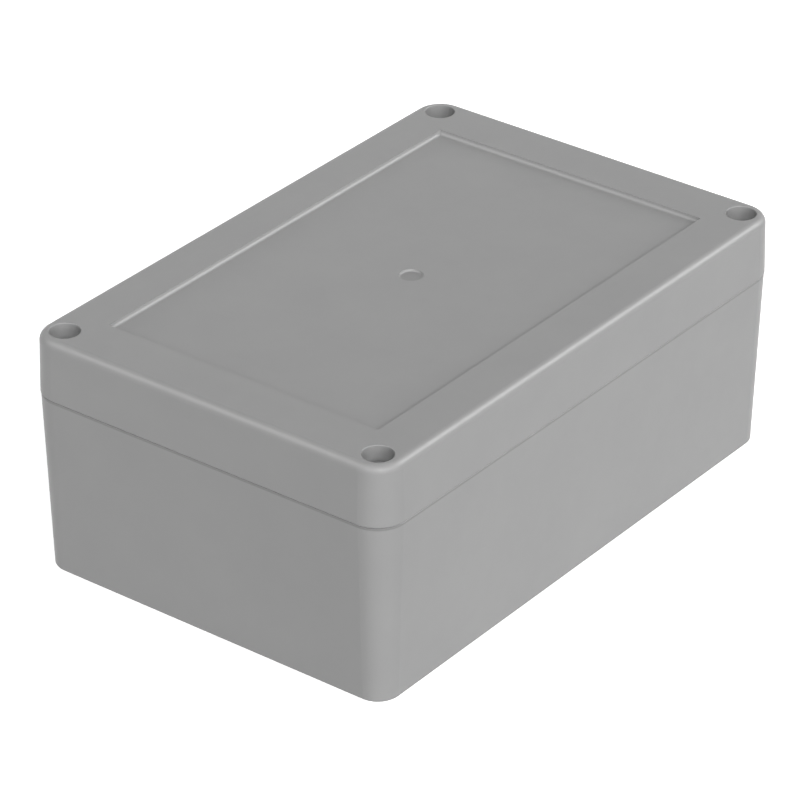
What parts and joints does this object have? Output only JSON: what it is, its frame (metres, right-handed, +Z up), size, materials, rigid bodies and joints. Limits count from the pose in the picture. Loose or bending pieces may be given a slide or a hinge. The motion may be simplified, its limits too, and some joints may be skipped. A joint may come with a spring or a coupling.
{
  "type": "plastic project box",
  "caption": "Rectangular moulded enclosure: drafted base, gasketed lift-off lid with a sunk label panel, and lid screws deep in its corners.",
  "frame": {"origin": "centre of the underside", "axes": "+X along the length, +Y along the width, +Z up through the lid"},
  "size_m": [0.15, 0.1, 0.06],
  "materials": {
    "enclosure_plastic": "satin",
    "gasket_rubber": "matte",
    "screw_steel": "satin",
    "insert_brass": "satin"
  },
  "bodies": {
    "base": {"base": "enclosure_plastic", "insert_front_left": "insert_brass", "insert_front_right": "insert_brass", "insert_rear_left": "insert_brass", "insert_rear_right": "insert_brass"},
    "lid": {"lid": "enclosure_plastic", "gasket": "gasket_rubber"},
    "screw_front_left": {"screw_front_left": "screw_steel"},
    "screw_front_right": {"screw_front_right": "screw_steel"},
    "screw_rear_left": {"screw_rear_left": "screw_steel"},
    "screw_rear_right": {"screw_rear_right": "screw_steel"}
  },
  "joints": [
    {"name": "lid_lift", "type": "slide", "parent": "base", "child": "lid", "axis": [0, 0, 1], "range_m": [0, 0.08]},
    {"name": "screw_front_left_out", "type": "slide", "parent": "lid", "child": "screw_front_left", "axis": [0, 0, 1], "range_m": [0, 0.024]},
    {"name": "screw_front_right_out", "type": "slide", "parent": "lid", "child": "screw_front_right", "axis": [0, 0, 1], "range_m": [0, 0.024]},
    {"name": "screw_rear_left_out", "type": "slide", "parent": "lid", "child": "screw_rear_left", "axis": [0, 0, 1], "range_m": [0, 0.024]},
    {"name": "screw_rear_right_out", "type": "slide", "parent": "lid", "child": "screw_rear_right", "axis": [0, 0, 1], "range_m": [0, 0.024]}
  ]
}
